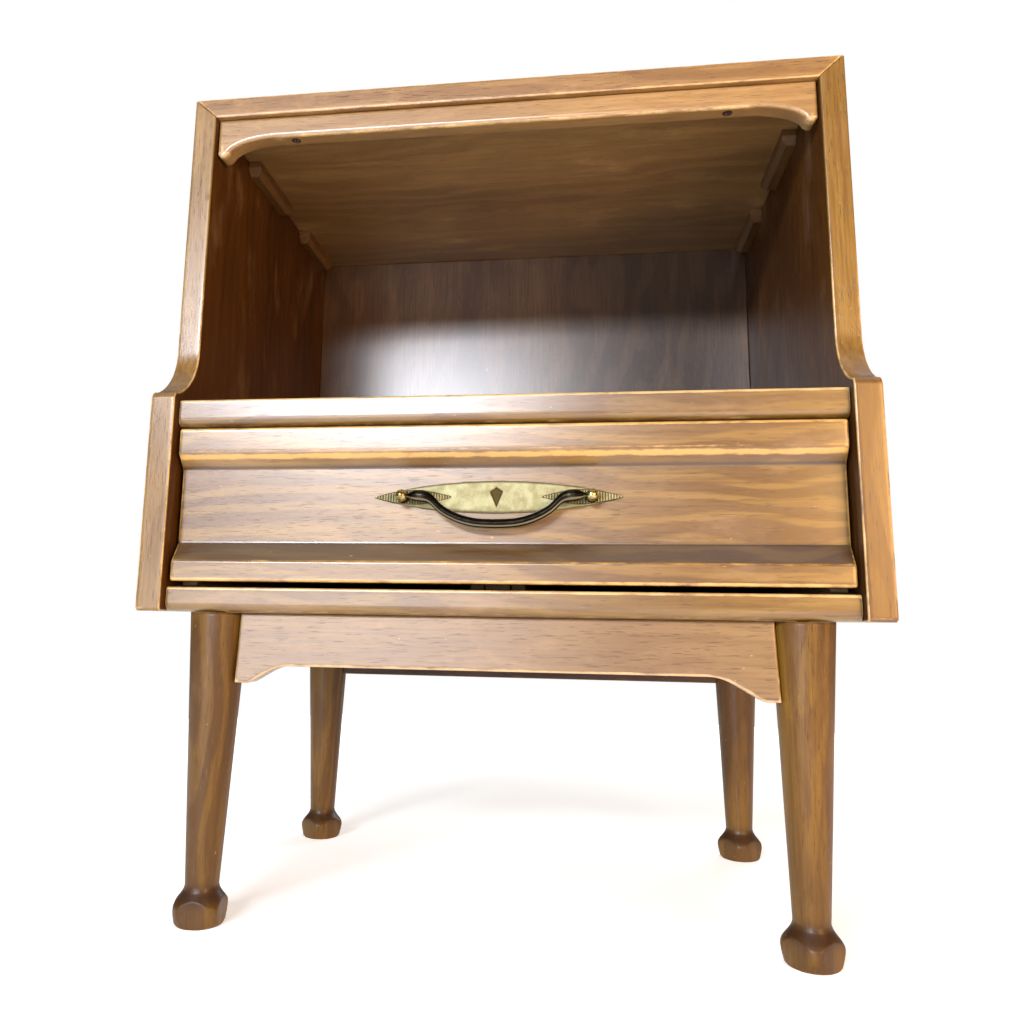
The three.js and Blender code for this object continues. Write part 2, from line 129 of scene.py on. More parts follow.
def eased(points, radius, steps=5, support=1.6):
    """Rounds every corner of a closed outline: a quadratic curve between the points that lie radius from the
    corner on both its edges, with one more point beyond each end so that the flat stays flat. Returns each
    point's corner, its place from that corner, the corner's inward mitre, and how sharp the corner is
    (0 none, 1 square)."""
    p = np.asarray(points, float)
    radius = np.broadcast_to(radius, len(p))
    if np.sum(p[:, 0] * np.roll(p[:, 1], -1) - np.roll(p[:, 0], -1) * p[:, 1]) < 0:
        p, radius = p[::-1], radius[::-1]
    before, after = np.roll(p, 1, 0) - p, np.roll(p, -1, 0) - p
    near, far = np.linalg.norm(before, axis=1), np.linalg.norm(after, axis=1)
    a, b = before / near[:, None], after / far[:, None]
    room = 0.48 * np.minimum(near, far)
    d = np.minimum(radius, 0.7 * room)[:, None]
    s = np.minimum(d + support, room[:, None])
    t = np.linspace(0, 1, steps)[None, :, None]
    curve = (1 - t) ** 2 * (a * d)[:, None] + t**2 * (b * d)[:, None]
    local = np.concatenate([(a * s)[:, None], curve, (b * s)[:, None]], 1)
    left_a, left_b = np.stack([a[:, 1], -a[:, 0]], 1), np.stack([-b[:, 1], b[:, 0]], 1)
    mitre_ = (left_a + left_b) / (1 + (left_a * left_b).sum(1))[:, None]
    turn = np.clip(np.arccos(np.clip(-(a * b).sum(1), -1, 1)) / math.radians(60), 0, 1)
    edge = np.concatenate([[0], np.full(steps, 1.0), [0]])
    again = local.shape[1]
    return {"corner": np.repeat(p, again, 0), "local": local.reshape(-1, 2),
            "mitre": np.repeat(mitre_, again, 0), "sharp": (turn[:, None] * edge).reshape(-1)}


def board(line, axis, lo, hi, ease=1.2, steps=4, keep=3.0):
    """A flat board: the outline carried from lo to hi along an axis, drawn in by a quarter circle at both
    ends so that its arrises are rounded, with a ring inside each flat. Gives the grid and its wear marks,
    which also carry the painted highlights that some callers put on lower edges."""
    a = np.linspace(0, np.pi / 2, steps + 1)
    inset = np.concatenate([[keep], ease * (1 - np.sin(a)), [0]])
    rise = np.concatenate([[0], ease * (1 - np.cos(a)), [ease + 1.6]])
    wear_and_painted_highlight = np.concatenate([[0], np.sin(2 * a) * 0.3 + 0.7, [0]])
    inset, wear_and_painted_highlight = np.concatenate([inset, inset[::-1]]), np.concatenate([wear_and_painted_highlight, wear_and_painted_highlight[::-1]])
    height = np.concatenate([lo + rise, hi - rise[::-1]])
    shrink = 1 - 0.92 * inset / keep
    ring = (line["corner"] + line["mitre"] * inset[:, None, None] + line["local"] * shrink[:, None, None])
    w = np.broadcast_to(height[:, None], ring.shape[:2])
    order = {"x": (w, ring[..., 0], ring[..., 1]), "y": (ring[..., 0], w, ring[..., 1])}[axis]
    mark = np.maximum(wear_and_painted_highlight[:, None] * (inset[:, None] <= ease), line["sharp"] * (inset[:, None] < keep))
    return np.stack(order, -1), mark


def turned(profile, sides, axis="z"):
    """A turned shape: a profile of (radius, height) points carried round an axis."""
    r, h = np.asarray(profile, float).T
    a = np.linspace(0, 2 * np.pi, sides, endpoint=False)
    x, y, z = r[:, None] * np.cos(a), r[:, None] * np.sin(a), np.repeat(h[:, None], sides, 1)
    return np.stack((x, y, z) if axis == "z" else (x, z, -y), -1)


# ---- material helpers ----
def shade(code):
    """An sRGB hex colour as linear RGBA."""
    part = np.array([int(code[i : i + 2], 16) for i in (1, 3, 5)]) / 255
    lin = np.where(part <= 0.04045, part / 12.92, ((part + 0.055) / 1.055) ** 2.4)
    return (*lin.tolist(), 1.0)


def add(tree, kind, props=None, values=None, links=None):
    """One node with its properties, its own socket values, and its links."""
    made = tree.nodes.new(kind)
    for key, value in (props or {}).items():
        setattr(made, key, value)
    for key, value in (values or {}).items():
        made.inputs[key].default_value = value
    for key, source in (links or {}).items():
        tree.links.new(source, made.inputs[key])
    return made


def new_material(name):
    """An empty node material and its tree."""
    made = bpy.data.materials.new(name)
    made.use_nodes = True
    made.node_tree.nodes.clear()
    return made, made.node_tree


def blend(tree, amount, low, high):
    """Colour low turning to high by amount."""
    mix = add(tree, "ShaderNodeMix", {"data_type": "RGBA"})
    for socket, value in ((0, amount), (6, low), (7, high)):
        if isinstance(value, str):
            mix.inputs[socket].default_value = shade(value)
        elif isinstance(value, (int, float)):
            mix.inputs[socket].default_value = value
        else:
            tree.links.new(value, mix.inputs[socket])
    return mix.outputs[2]


def spread(tree, value, low, high, to_low=0.0, to_high=1.0):
    """A value mapped from low..high to another range, clamped and eased."""
    out = add(tree, "ShaderNodeMapRange", {"interpolation_type": "SMOOTHSTEP"},
              {1: low, 2: high, 3: to_low, 4: to_high}, {0: value})
    return out.outputs[0]


def figure(tree, where, per_metre, turn=(0, 0, 0), shift=(0, 0, 0), detail=4.0, rough=0.55):
    """Noise whose cells repeat per_metre times along X, Y and Z."""
    mapped = add(tree, "ShaderNodeMapping", {"vector_type": "POINT"},
                 {"Location": shift, "Rotation": turn, "Scale": per_metre}, {"Vector": where})
    made = add(tree, "ShaderNodeTexNoise", {}, {"Scale": 1.0, "Detail": detail, "Roughness": rough},
               {"Vector": mapped.outputs[0]})
    return made.outputs[0]


def times(tree, a, b, how="MULTIPLY"):
    """Two numbers multiplied, or put through another math node's operation."""
    made = add(tree, "ShaderNodeMath", {"operation": how})
    for i, value in enumerate((a, b)):
        if isinstance(value, (int, float)):
            made.inputs[i].default_value = value
        else:
            tree.links.new(value, made.inputs[i])
    return made.outputs[0]


def wood(name, grain, deep, mid, pale, wear_and_painted_highlight, pore="#3a2110", gloss=0.34, coat=0.35, seed=0.0,
         streaks=0.55, rings=0.5, scuffs=0.22, scuff="#b0906e", edge=0.7, stain_and_shade_colour=None, relief=0.5, shine=0.5):
    """Hardwood: growth rings 8 to 20 mm apart, streaks 2 to 4 mm wide and 60 mm long, open pores 0.6 mm wide
    and 8 to 15 mm long, all drawn out along the grain. Worn arrises and scuffs go pale and dull; the same
    wear mark also paints highlights pale on the valance's and rails' rounded lower edges and at the top of
    the drawer's cove. Where the mesh's stain mark is high, the wood is darkened to the stain colour: real
    darker wood at the leg ankles, painted shade in the drawer front's grooves and on its bevel."""
    made, tree = new_material(name)
    where = add(tree, "ShaderNodeTexCoord").outputs["Object"]

    def per(along, across):
        return tuple(along if axis == grain else across for axis in "xyz")

    move = (seed * 1.37, seed * 0.71, seed * 2.13)
    broad = figure(tree, where, per(3, 11), shift=move, detail=2)
    bend = figure(tree, where, per(2.2, 7), shift=move, detail=3, rough=0.6)
    cross = add(tree, "ShaderNodeMapping", {}, {"Scale": per(0.0, 1.0), "Location": move}, {"Vector": where})
    apart = add(tree, "ShaderNodeSeparateXYZ", {}, {}, {0: cross.outputs[0]})
    a, b = {"x": (1, 2), "y": (0, 2), "z": (0, 1)}[grain]
    level_ = times(tree, times(tree, apart.outputs[a], 30), times(tree, apart.outputs[b], 62), "ADD")
    phase = times(tree, level_, times(tree, bend, 9.0), "ADD")
    ring = spread(tree, times(tree, times(tree, phase, 6.283), 1.0, "SINE"), -1, 1)
    streak = figure(tree, where, per(16, 380), shift=move, detail=6, rough=0.62)
    pores = spread(tree, figure(tree, where, per(75, 1500), shift=move, detail=2, rough=0.5), 0.60, 0.72)
    fleck = spread(tree, figure(tree, where, per(55, 1100), shift=(5, 3, 1), detail=2), 0.62, 0.74)
    patch = figure(tree, where, per(9, 22), shift=(2.0 + seed, 7, 4), detail=5, rough=0.7)
    nick = figure(tree, where, per(160, 420), turn=(0.3, 0.35, 0.25), shift=move, detail=2)
    rubbing = figure(tree, where, per(60, 120), shift=(3, 9, seed), detail=4, rough=0.65)

    colour = blend(tree, spread(tree, broad, 0.3, 0.72), deep, mid)
    colour = blend(tree, times(tree, spread(tree, ring, 0.35, 1.0), rings), colour, pale)
    colour = blend(tree, times(tree, spread(tree, streak, 0.56, 0.36), streaks), colour, deep)
    colour = blend(tree, times(tree, pores, 0.7), colour, pore)
    colour = blend(tree, times(tree, fleck, 0.3), colour, pale)
    colour = blend(tree, times(tree, spread(tree, patch, 0.52, 0.72), scuffs), colour, scuff)
    # The stain mark: real darker wood at the leg ankles, painted shade in the drawer front's grooves and on
    # its bevel.
    if stain_and_shade_colour:
        stain_and_shade_amount = add(tree, "ShaderNodeAttribute", {"attribute_name": "stain_and_painted_shade"}).outputs["Fac"]
        colour = blend(tree, times(tree, stain_and_shade_amount, 0.85), colour, stain_and_shade_colour)
    # The wear mark is real wear on arrises and soles, and also painted highlights on some rounded lower
    # edges.
    wear_and_highlight_mark = add(tree, "ShaderNodeAttribute", {"attribute_name": "wear_and_painted_highlight"}).outputs["Fac"]
    chafe_and_highlight = spread(tree, times(tree, wear_and_highlight_mark, rubbing, "ADD"), 1.18, 1.62)
    nicks = times(tree, spread(tree, nick, 0.745, 0.78), 0.5)
    bare_and_highlight = times(tree, times(tree, chafe_and_highlight, edge), nicks, "MAXIMUM")
    colour = blend(tree, bare_and_highlight, colour, wear_and_painted_highlight)

    rough = times(tree, times(tree, spread(tree, streak, 0.3, 0.7), 0.12), gloss - 0.06, "ADD")
    rough = times(tree, rough, times(tree, spread(tree, patch, 0.35, 0.75), 0.14), "ADD")
    rough = times(tree, rough, times(tree, bare_and_highlight, 0.2), "ADD")
    height = times(tree, times(tree, streak, 0.5), times(tree, pores, -0.8), "ADD")
    height = times(tree, height, times(tree, broad, 1.2), "ADD")
    bump = add(tree, "ShaderNodeBump", {}, {"Strength": relief, "Distance": 0.0005}, {"Height": height})
    shader = add(tree, "ShaderNodeBsdfPrincipled", {},
                 {"IOR": 1.5, "Specular IOR Level": shine, "Coat Weight": coat, "Coat Roughness": 0.28,
                  "Coat IOR": 1.7},
                 {"Base Color": colour, "Roughness": rough, "Normal": bump.outputs[0]})
    add(tree, "ShaderNodeOutputMaterial", {}, {}, {"Surface": shader.outputs[0]})
    return made


def metal(name, clean, aged, gloss, dull, cells=160, mark=None, marked=None, relief=0.25):
    """Cast metal with a patina in cells of a few millimetres; a mark on the mesh gives it another colour."""
    made, tree = new_material(name)
    where = add(tree, "ShaderNodeTexCoord").outputs["Object"]
    patina = figure(tree, where, (cells,) * 3, detail=6, rough=0.65)
    fine = figure(tree, where, (1400,) * 3, detail=3)
    colour = blend(tree, spread(tree, patina, 0.36, 0.66), clean, aged)
    colour = blend(tree, times(tree, spread(tree, fine, 0.5, 0.75), 0.35), colour, aged)
    rough = times(tree, times(tree, patina, dull), gloss, "ADD")
    if mark:
        amount = add(tree, "ShaderNodeAttribute", {"attribute_name": mark}).outputs["Fac"]
        amount = spread(tree, times(tree, amount, times(tree, patina, 0.35), "ADD"), 0.35, 1.0)
        colour = blend(tree, amount, colour, marked)
    bump = add(tree, "ShaderNodeBump", {}, {"Strength": relief, "Distance": 0.0003}, {"Height": patina})
    shader = add(tree, "ShaderNodeBsdfPrincipled", {}, {"Metallic": 1.0},
                 {"Base Color": colour, "Roughness": rough, "Normal": bump.outputs[0]})
    add(tree, "ShaderNodeOutputMaterial", {}, {}, {"Surface": shader.outputs[0]})
    return made


# ---- materials ----
# Walnut under old amber lacquer: brown with golden rings; arrises rubbed through to pale wood.
side_walnut = wood("lacquered walnut, grain upright", "z", "#5d3c12", "#785a20", "#91712e", "#dcb87c", seed=1,
                   rings=0.25, coat=0.45)
# The same board's inner face, rubbed less, in a darker colour as painted shade inside the cubby and with a
# thinner coat.
inner_walnut_painted_shade = wood("walnut painted darker inside as shade", "z", "#3a1e04", "#553209", "#6d4414", "#8a6030", seed=1,
                    rings=0.2, coat=0.08, gloss=0.45, shine=0.25)
rail_walnut = wood("lacquered walnut, grain across", "x", "#573a12", "#74561e", "#8b6f2f", "#d6b67c", seed=2,
                   rings=0.3, coat=0.75)
# Drawer front: its stain colour is painted shade for the grooves and the bevel.
front_walnut = wood("lacquered walnut drawer front", "x", "#5c3d12", "#7c5d1e", "#957431", "#d8ab5c", seed=3,
                    rings=0.45, streaks=0.5, coat=0.9, stain_and_shade_colour="#2c1a06")
valance_walnut = wood("lacquered walnut valance", "x", "#86663c", "#a5814f", "#bd9a66", "#e2c48c", seed=4,
                      rings=0.15, coat=0.9, edge=0.8)
# Walnut apron with its finish worn thin: pinkish tan, scuffed and dull.
apron_walnut = wood("thinly finished walnut", "x", "#674a28", "#7f643d", "#94784c", "#d8b888", gloss=0.42,
                    coat=0.7, scuffs=0.35, seed=5, rings=0.15, scuff="#b3926f")
# Turned walnut-stained legs: golden brown along the grain with darker ankles.
leg_walnut = wood("turned walnut leg", "z", "#4a2e06", "#6e4d10", "#89661f", "#d3ad70", gloss=0.42, coat=0.1,
                  seed=6, scuffs=0.10, edge=0.4, rings=0.25, stain_and_shade_colour="#2e1708", shine=0.3)
# Sawn walnut for what nobody sees: dark, rough and without lacquer.
rough_walnut = wood("sawn walnut", "x", "#2f1a0b", "#412613", "#55361c", "#6d4c2c", gloss=0.6, coat=0.0,
                    seed=7, rings=0.2)
# Back panel: dark stained veneer with upright grain under a thin, even coat.
back_veneer = wood("veneered back panel", "z", "#38251a", "#57402c", "#74593f", "#a08868", gloss=0.45,
                   coat=0.75, shine=0.2, seed=8, streaks=0.7, rings=0.2, pore="#170c05", scuffs=0.1)
# The top and the shelf: the same walnut, paler where it is rubbed, left plain underneath.
top_walnut = wood("walnut top board", "x", "#775630", "#957242", "#ad8953", "#dcb67c", gloss=0.42, coat=0.5,
                  seed=9,
                  rings=0.3, scuffs=0.45, scuff="#c8a06c")
shelf_walnut = wood("walnut shelf board", "x", "#5b3a1a", "#7a542c", "#946c40", "#c5a67d", gloss=0.45,
                    coat=0.3, seed=10, rings=0.2)
stained_block = wood("glue block, stained", "y", "#553814", "#6d4b20", "#83602f", "#b3905c", gloss=0.5,
                     coat=0.2, seed=13, scuffs=0.1, rings=0.2)
# Poplar for the drawer box, runners and blocks: bare, dry and gone brown.
poplar = wood("bare poplar", "y", "#6f5838", "#836a46", "#967d58", "#b09a74", gloss=0.65, coat=0.0, seed=11,
              scuffs=0.1, rings=0.2)
poplar_across = wood("bare poplar, grain across", "x", "#6f5838", "#836a46", "#967d58", "#b09a74", gloss=0.65,
                     coat=0.0, seed=12, scuffs=0.1, rings=0.2)
# Runners, bearers, kickers, stops and guide rails in near-black poplar: painted shade in the gap under the
# drawer.
poplar_painted_shade = wood("poplar runner, painted dark as shade", "y", "#2c2014", "#3a2b1b", "#4a3924", "#5d4a32",
                   gloss=0.7, coat=0.0, seed=14, scuffs=0.05, rings=0.2)
# Stamped brass gone greenish yellow, darker in its engraving.
plate_brass = metal("aged stamped brass", "#9c9978", "#8b8663", 0.5, 0.2, mark="cut", marked="#453d22")
# The posts' marked colour is painted shade on the collar and neck by the plate.
post_brass = metal("rubbed brass", "#c9bb86", "#6f6238", 0.16, 0.2, mark="cut", marked="#2c2413")
# Bronze-plated steel: near black, with pale painted highlights where the mesh marks them.
bail_bronze = metal("dark bronze", "#1d1a15", "#100e0b", 0.24, 0.2, mark="bail_painted_highlight", marked="#7d745c")
dull_steel = metal("dull steel", "#8d8d8a", "#5c5a56", 0.35, 0.2)

# ---- side panels: the outline of their front edge in (y, z), carried across the board ----
t = np.linspace(0, 1, 26)
sweep = np.stack([CUBBY_FRONT - 31.8 * t**2.1, 430 - 44 * (1 - (1 - t) ** 1.25)], 1)
a = np.radians(np.linspace(112, 180, 7))
nose = np.stack([FRONT + 6 + 6 * np.cos(a), SHELF_TOP + 6 * np.sin(a)], 1)
side_line = np.concatenate([[(BACK, CASE_BOTTOM), (BACK, HEIGHT), (CUBBY_FRONT, HEIGHT)], sweep, nose,
                            [(FRONT, CASE_BOTTOM + 2), (FRONT + 2, CASE_BOTTOM)]])
for side, sign in (("left", -1), ("right", 1)):
    line = eased(side_line, 0.8, 3)
    grid, mark = board(line, "x", INNER, HALF, ease=1.3)
    over = np.clip((grid[..., 2] - TOP_UNDER) / TOP_THICK, 0, 1)
    reach = np.clip((grid[..., 0] - INNER) / BOARD, 0, 1)
    grid[..., 2] -= over * TOP_THICK * (1 - reach)
    mark = mark * (1 - 0.8 * over)
    inner_mark = np.ones_like(mark) * (np.arange(len(grid)) < 2)[:, None]
    grid[..., 0] *= sign
    piece("side_" + side, [sheet(grid, around=True, caps=True)], "case", side_walnut,
          ["side_panel_" + side], {"wear_and_painted_highlight": mark.reshape(-1), "inner": inner_mark.reshape(-1)}, inner_walnut_painted_shade)

# ---- top: its section in (x, z) carried from front to back ----
lean = 0.45
top_line = [(-HALF + lean + 0.2, HEIGHT), (-INNER + lean, TOP_UNDER),
            (INNER - lean, TOP_UNDER), (HALF - lean - 0.2, HEIGHT)]
line = eased(top_line, 0.5, 3)
grid, mark = board(line, "y", CUBBY_FRONT, BACK, ease=1.3)
piece("top", [sheet(grid, around=True, caps=True)], "case", top_walnut, ["top_panel"],
      {"wear_and_painted_highlight": mark.reshape(-1)})

# ---- rails: section in (y, z) with a well rounded lower front edge ----
for name, low, high, node_name in (("shelf_rail", SHELF_RAIL_LOW, SHELF_TOP, "shelf_front_rail"),
                                   ("bottom_rail", CASE_BOTTOM, BOTTOM_RAIL_TOP, "bottom_front_rail")):
    a = np.radians(np.linspace(180, 270, 12))
    round_ = np.stack([RAIL_FRONT + 7 + 7 * np.cos(a), low + 7 + 7 * np.sin(a)], 1)
    section = np.concatenate([[(RAIL_BACK, low + 0.6), (RAIL_BACK, high), (RAIL_FRONT, high)], round_])
    line = eased(section, [0.5, 0.5, 1.8] + [0.3] * 12, 5)
    at = line["corner"] + line["local"]
    # The rounded lower front edge gets the pale wear colour as a painted highlight.
    painted_lower_edge_highlight = np.clip((low + 6 - at[:, 1]) / 5, 0, 1) * (at[:, 0] < RAIL_FRONT + 8)
    line["sharp"] = np.maximum(line["sharp"], 0.75 * painted_lower_edge_highlight)
    grid, mark = board(line, "x", -RAIL_HALF, RAIL_HALF, ease=0.9)
    piece(name, [sheet(grid, around=True, caps=True)], "case", rail_walnut, [node_name],
          {"wear_and_painted_highlight": mark.reshape(-1)})


# ---- valance: outline in (x, z), level in the middle and dropping to a foot at each end ----
def quarter(x0, z0, x1, z1, count=16):
    """A quarter ellipse that leaves (x0, z0) level and drops ever more steeply to (x1, z1)."""
    a = np.linspace(0, 0.46 * np.pi, count)
    across, fall = np.sin(a) / np.sin(a[-1]), (1 - np.cos(a)) / (1 - np.cos(a[-1]))
    return np.stack([x0 + (x1 - x0) * across, z0 + (z1 - z0) * fall], 1)


half = INNER - 1.2
right_end = quarter(half - 52, VALANCE_LOW, half - 9.5, 605.0)
right_line = np.concatenate([right_end, [(half - 6.5, 602.5), (half - 3, 602.5), (half, 605.5)]])
valance_line = np.concatenate([[(-half, 636.7), (half, 636.7)], right_line[::-1], right_line * (-1, 1)])
line = eased(valance_line, 0.8, 3)
grid, mark = board(line, "y", VALANCE_FRONT, VALANCE_BACK, ease=3.2, steps=6, keep=3.4)
# The front of the valance's rounded lower edge gets the pale wear colour as a painted highlight; the rest of
# the mark is wear on its arrises.
painted_low_edge_highlight = np.clip((np.interp(np.abs(grid[..., 0]), [190, 236], [624, 611]) - grid[..., 2]) / 5, 0, 1)
mark = np.maximum(mark * 0.45, painted_low_edge_highlight * (grid[..., 1] < -131) * 0.9) * (grid[..., 2] < 634)
valance = piece("valance", [sheet(grid, around=True, caps=True)], "case", valance_walnut,
                ["cubby_valance"], {"wear_and_painted_highlight": mark.reshape(-1)})
screw_y = (VALANCE_FRONT + VALANCE_BACK) / 2
drills = [sheet(turned([(4, 606), (4, 625.5), (1.5, 626.5)], 28) + (x, screw_y, 0), around=True, caps=True)
          for x in (-SCREW_X, SCREW_X)]
drill = piece("drill", drills, "case", rough_walnut)
cut = valance.modifiers.new("holes", "BOOLEAN")
cut.object, cut.solver, cut.material_mode = drill, "EXACT", "TRANSFER"
bpy.context.view_layer.update()
bored = bpy.data.meshes.new_from_object(valance.evaluated_get(bpy.context.evaluated_depsgraph_get()))
valance.modifiers.clear()
valance.data = bored
bored.polygons.foreach_set("use_smooth", [len(f.vertices) <= 4 for f in bored.polygons])
bpy.data.objects.remove(drill)

# The screw heads take the near-black bronze: painted shade down in their holes.
for side, x in (("left", -SCREW_X), ("right", SCREW_X)):
    head = turned([(0.01, 622.6), (0.9, 622.6), (1.0, 622.0), (3.2, 622.2), (3.6, 622.9), (1.9, 624.8),
                   (1.9, 632), (0.01, 632)], 28)
    piece("valance_screw_" + side + "_head", [sheet(head + (x, screw_y, 0), around=True, caps=True)], "case",
          bail_bronze, ["valance_screw_" + side])

# ---- drawer front: section in (y, z) with two proud bands, a cove above the field and a bevel below ----
s = np.linspace(0, 1, 14)
e = s * s * (3 - 2 * s)
cove = np.stack([DRAWER_FACE + 9.5 * e, 339 - 12 * (0.6 * e + 0.4 * s)], 1)
section = np.concatenate([[(FRONT_BACK, DRAWER_LOW), (FRONT_BACK, DRAWER_TOP), (DRAWER_FACE, DRAWER_TOP),
                           (DRAWER_FACE, 341)],
                          cove[1:],
                          [(FIELD_FACE, 271.4), (DRAWER_FACE + 1.0, 258.6), (DRAWER_FACE, 256.6),
                           (DRAWER_FACE, DRAWER_LOW)]])
radius = [0.5, 0.8, 2.0, 1.0] + [0.3] * 13 + [1.2, 1.0, 1.2, 2.0]
line = eased(section, radius, 5)
at = line["corner"] + line["local"]
proud = np.exp(-((at[:, 1] - 340) / 1.8) ** 2) + np.exp(-((at[:, 1] - 257.5) / 2.0) ** 2)
hollow = (np.abs(at[:, 1] - 328) < 3) | (np.abs(at[:, 1] - 271.4) < 1.5)
line["sharp"] = np.maximum(np.where(hollow, 0, line["sharp"]), 0.8 * proud * (at[:, 0] < -160))
grid, mark = board(line, "x", -DRAWER_HALF, DRAWER_HALF, ease=1.6)
# Painted shade: the bevel below the field, and the lines where the cove and the bevel meet the field, are
# darkened to the stain colour.
painted_bevel_shade = np.clip((272.5 - grid[..., 2]) / 1.5, 0, 1) * np.clip((grid[..., 2] - 257.5) / 1.5, 0, 1) * 0.8
painted_groove_shade = np.exp(-(((grid[..., 2] - 328.5) / 1.3) ** 2)) + np.exp(-(((grid[..., 2] - 271) / 1.6) ** 2))
sunk = np.maximum(painted_bevel_shade, painted_groove_shade) * (grid[..., 1] < FIELD_FACE + 2)
# A painted highlight: a pale golden line along the top of the cove, laid into the wear mark.
painted_cove_highlight = np.exp(-(((grid[..., 2] - 336) / 3.2) ** 2)) * (grid[..., 1] < FIELD_FACE + 2)
mark = np.maximum(mark, 1.15 * painted_cove_highlight)
piece("drawer_face", [sheet(grid, around=True, caps=True)], "drawer", front_walnut,
      ["drawer_front"], {"wear_and_painted_highlight": mark.reshape(-1), "stain_and_painted_shade": sunk.reshape(-1)})


# ---- aprons ----
def bracket(start, end, foot):
    """The lower edge from the bracket's foot to the middle: the way to the power 0.75, on an S-shaped rise of
    three times its square less twice its cube."""
    way = np.linspace(0, 1, 20)
    s = way**0.75
    return np.stack([end + (start - end) * way, foot + (APRON_LOW - foot) * s * s * (3 - 2 * s)], 1)


apron_line = np.concatenate([[(-190.5, APRON_TOP), (191, APRON_TOP), (193.4, 165.5)],
                             bracket(146, 184, 165.5),
                             (bracket(153, 183, 169) * (-1, 1))[::-1], [(-192.6, 169)]])
line = eased(apron_line, 0.6, 3)
grid, mark = board(line, "y", APRON_FRONT, APRON_BACK, ease=1.8, steps=5)
mark = mark * (grid[..., 2] < 200) * (grid[..., 1] < -156) * 1.1
piece("front_apron_board", [sheet(grid, around=True, caps=True)], "case", apron_walnut,
      ["front_apron"], {"wear_and_painted_highlight": mark.reshape(-1)})
line = eased([(-192, APRON_TOP), (200, APRON_TOP), (200, 160), (-192, 160)], 0.8, 3)
grid, mark = board(line, "y", 104, 122, ease=1.2)
piece("back_apron_board", [sheet(grid, around=True, caps=True)], "case", rough_walnut,
      ["back_apron"], {"wear_and_painted_highlight": mark.reshape(-1)})

# ---- legs: turned, then the foot held inside a rounded square ----
leg_profile = np.array([(16.6, 0), (18, 1.6), (19.1, 6), (19.9, 10), (20, 12), (19.6, 14), (18, 16.5),
                        (15.2, 19.8), (13, 23), (12, 26), (12.1, 29), (21.4, 219.7)])
z = np.concatenate([np.linspace(0, 2, 6), np.linspace(2.6, 30, 70), np.linspace(31, 219.7, 70)])
r = np.interp(z, leg_profile[:, 1], leg_profile[:, 0])
smooth = np.exp(-(np.linspace(-2, 2, 9) ** 2))
r[6:76] = np.convolve(np.pad(r, 4, "edge"), smooth / smooth.sum(), "valid")[6:76]
angle = np.linspace(0, 2 * np.pi, 144, endpoint=False)
PLACES = {"front_left": (-211.5, -148, -1.2, 4), "front_right": (212, -148, -4, 38),
          "back_left": (-202, 108, 0, -36), "back_right": (208.5, 108, -2, 40)}
for count, (place, (x, y, slant, twist)) in enumerate(PLACES.items()):
    face = (angle - math.radians(twist) + np.pi / 4) % (np.pi / 2) - np.pi / 4
    near = np.abs(face)
    flat = 16.5 / np.cos(near)
    reach = 10.5 * (np.cos(near) + np.sin(near))
    corner = reach + np.sqrt(np.maximum(reach**2 - 2 * 10.5**2 + 36, 0))
    pad = np.where(16.5 * np.tan(near) > 10.5, corner, flat)
    low = z[:, None] < 26
    both = -np.log(np.exp(-r[:, None] / 0.25) + np.exp(-pad[None] / 0.25)) * 0.25
    radius_ = np.where(low, np.maximum(both, 0.1), r[:, None])
    lip = np.exp(-(((r[:, None] - pad[None]) / 0.8) ** 2)) * low
    grid = np.stack([x + slant * (1 - z[:, None] / 219.7) + radius_ * np.cos(angle),
                     y + radius_ * np.sin(angle), np.repeat(z[:, None], len(angle), 1)], -1)
    mark = np.maximum(0.5 * lip, 0.8 * np.exp(-z[:, None] / 2.0) * np.ones_like(lip))
    dark = np.exp(-(((z[:, None] - 21) / 6.5) ** 2)) * np.ones_like(lip)
    piece("leg_" + place + "_turned", [sheet(grid, around=True, caps=True)], "case", leg_walnut,
          ["leg_" + place], {"wear_and_painted_highlight": mark.reshape(-1), "stain_and_painted_shade": dark.reshape(-1)})

# ---- pull plate: a leaf outline, slightly crowned, with engraved ribs and a sunk kite ----
u = np.linspace(0, 1, 721)[:, None]
v = np.linspace(-1, 1, 49)[None]
x = PULL_HALF * (1 - 2 * u) + 0 * v
rise = PLATE_RISE * (4 * u * (1 - u)) ** 0.85
zed = v * rise
lens = np.clip(1 - (np.abs(np.abs(x) - 62) / 30) ** 1.6, 0, 1) * 5.2
inside = np.clip((lens - np.abs(zed)) / 0.8, 0, 1)
ribs = inside * (0.5 + 0.5 * np.cos(2 * np.pi * x / 2.0))
rim_line = np.exp(-(((lens - np.abs(zed)) / 0.35) ** 2)) * (lens > 0.3)
kite = np.maximum.reduce([(np.abs(x) * 3.5 + (zed - 7.5) * 5) / 6.1, (np.abs(x) * 12 - (zed + 8) * 5) / 13])
sunk_ = np.clip(-kite / 0.7, 0, 1)
crown = 1.55 * (1 - np.abs(v) ** 14) * np.clip(np.minimum(u, 1 - u) / 0.004, 0, 1) + 0 * x
front_y = PLATE_FACE + PLATE_THICK - crown + 0.45 * ribs + 0.25 * rim_line + 1.1 * sunk_
cut_mark = np.clip(ribs * 0.75 + rim_line * 0.9 + sunk_ * 0.9, 0, 1)
front_sheet = np.stack([x, front_y, PULL_Z + zed], -1)
back_sheet = np.stack([x, np.full_like(x, PLATE_FACE + PLATE_THICK), PULL_Z + zed], -1)
piece("backplate", [sheet(front_sheet), sheet(back_sheet)], "drawer", plate_brass,
      ["pull_backplate"], {"cut": np.concatenate([cut_mark.reshape(-1), np.zeros(x.size)])})

